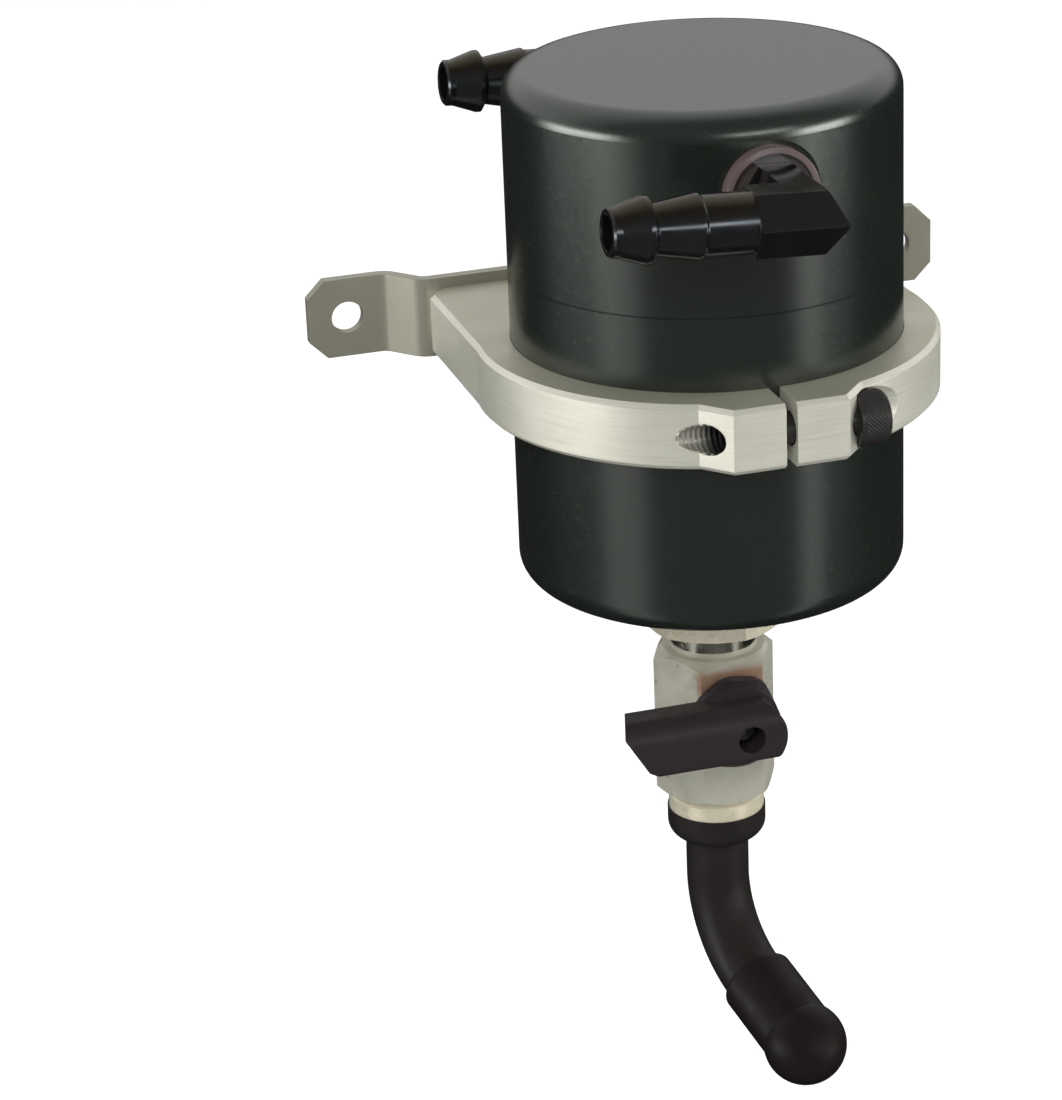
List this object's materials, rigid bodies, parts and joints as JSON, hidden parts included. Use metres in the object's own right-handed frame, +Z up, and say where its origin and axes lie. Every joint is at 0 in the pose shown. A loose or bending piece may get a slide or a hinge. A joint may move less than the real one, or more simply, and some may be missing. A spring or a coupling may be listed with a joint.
{
  "type": "oil catch can",
  "caption": "Round oil catch can in a split clamp on a wall strap, with barbed elbows at the top and a ball valve, drain elbow and cap below.",
  "frame": {"origin": "middle of the strap's two wall holes, on the face that meets the wall", "axes": "+Y into the wall, +Z up along the can's axis, -Y towards the front, +X to the right seen from the front"},
  "size_m": [0.1352, 0.1217, 0.2054],
  "materials": {
    "bowl": "satin black anodised",
    "lid": "satin black anodised",
    "lid_seal": "soft matt",
    "front_elbow": "glossy moulded",
    "rear_elbow": "glossy moulded",
    "inlet_tube": "drawn, plain",
    "spacer_tube": "turned",
    "upper_screen": "punched sheet",
    "mesh_element": "knitted wire",
    "lower_screen": "punched sheet",
    "element_rod": "plain",
    "element_nut": "plain",
    "clamp_ring": "machined, fine horizontal lines",
    "pinch_screw": "black oxide, knurled head",
    "mounting_strap": "satin",
    "strap_screws": "plain",
    "drain_adapter": "nickel plated",
    "adapter_washer": "soft copper",
    "valve_body": "nickel plated, slightly stained",
    "valve_tail": "nickel plated",
    "ball_seats": "smooth",
    "valve_ball": "polished",
    "valve_stem": "turned",
    "stem_seal": "smooth",
    "gland_nut": "plain",
    "drain_lever": "moulded, soft sheen",
    "lever_screw": "plain",
    "drain_elbow": "moulded, satin",
    "drain_cap": "moulded, satin"
  },
  "bodies": {
    "can_body": {"bowl": "bowl", "lid_seal": "lid_seal", "clamp_ring": "clamp_ring", "pinch_screw": "pinch_screw", "mounting_strap": "mounting_strap", "strap_screws": "strap_screws", "drain_adapter": "drain_adapter", "adapter_washer": "adapter_washer", "valve_body": "valve_body", "valve_tail": "valve_tail", "ball_seats": "ball_seats", "stem_seal": "stem_seal", "gland_nut": "gland_nut", "drain_elbow": "drain_elbow"},
    "lid_group": {"lid": "lid", "front_elbow": "front_elbow", "rear_elbow": "rear_elbow", "inlet_tube": "inlet_tube", "spacer_tube": "spacer_tube", "upper_screen": "upper_screen", "mesh_element": "mesh_element", "lower_screen": "lower_screen", "element_rod": "element_rod", "element_nut": "element_nut"},
    "lever_group": {"valve_ball": "valve_ball", "valve_stem": "valve_stem", "drain_lever": "drain_lever", "lever_screw": "lever_screw"},
    "cap_group": {"drain_cap": "drain_cap"}
  },
  "joints": [
    {"name": "lid_lift", "type": "slide", "parent": "can_body", "child": "lid_group", "axis": [0, 0, 1], "range_m": [0, 0.045]},
    {"name": "lever_turn", "type": "hinge", "parent": "can_body", "child": "lever_group", "pos_m": [0, -0.05295, -0.07255], "axis": [0, -1, 0], "range_deg": [0, 90]},
    {"name": "cap_pull", "type": "slide", "parent": "can_body", "child": "cap_group", "axis": [0.2258, -0.9059, -0.3584], "range_m": [0, 0.016]}
  ]
}
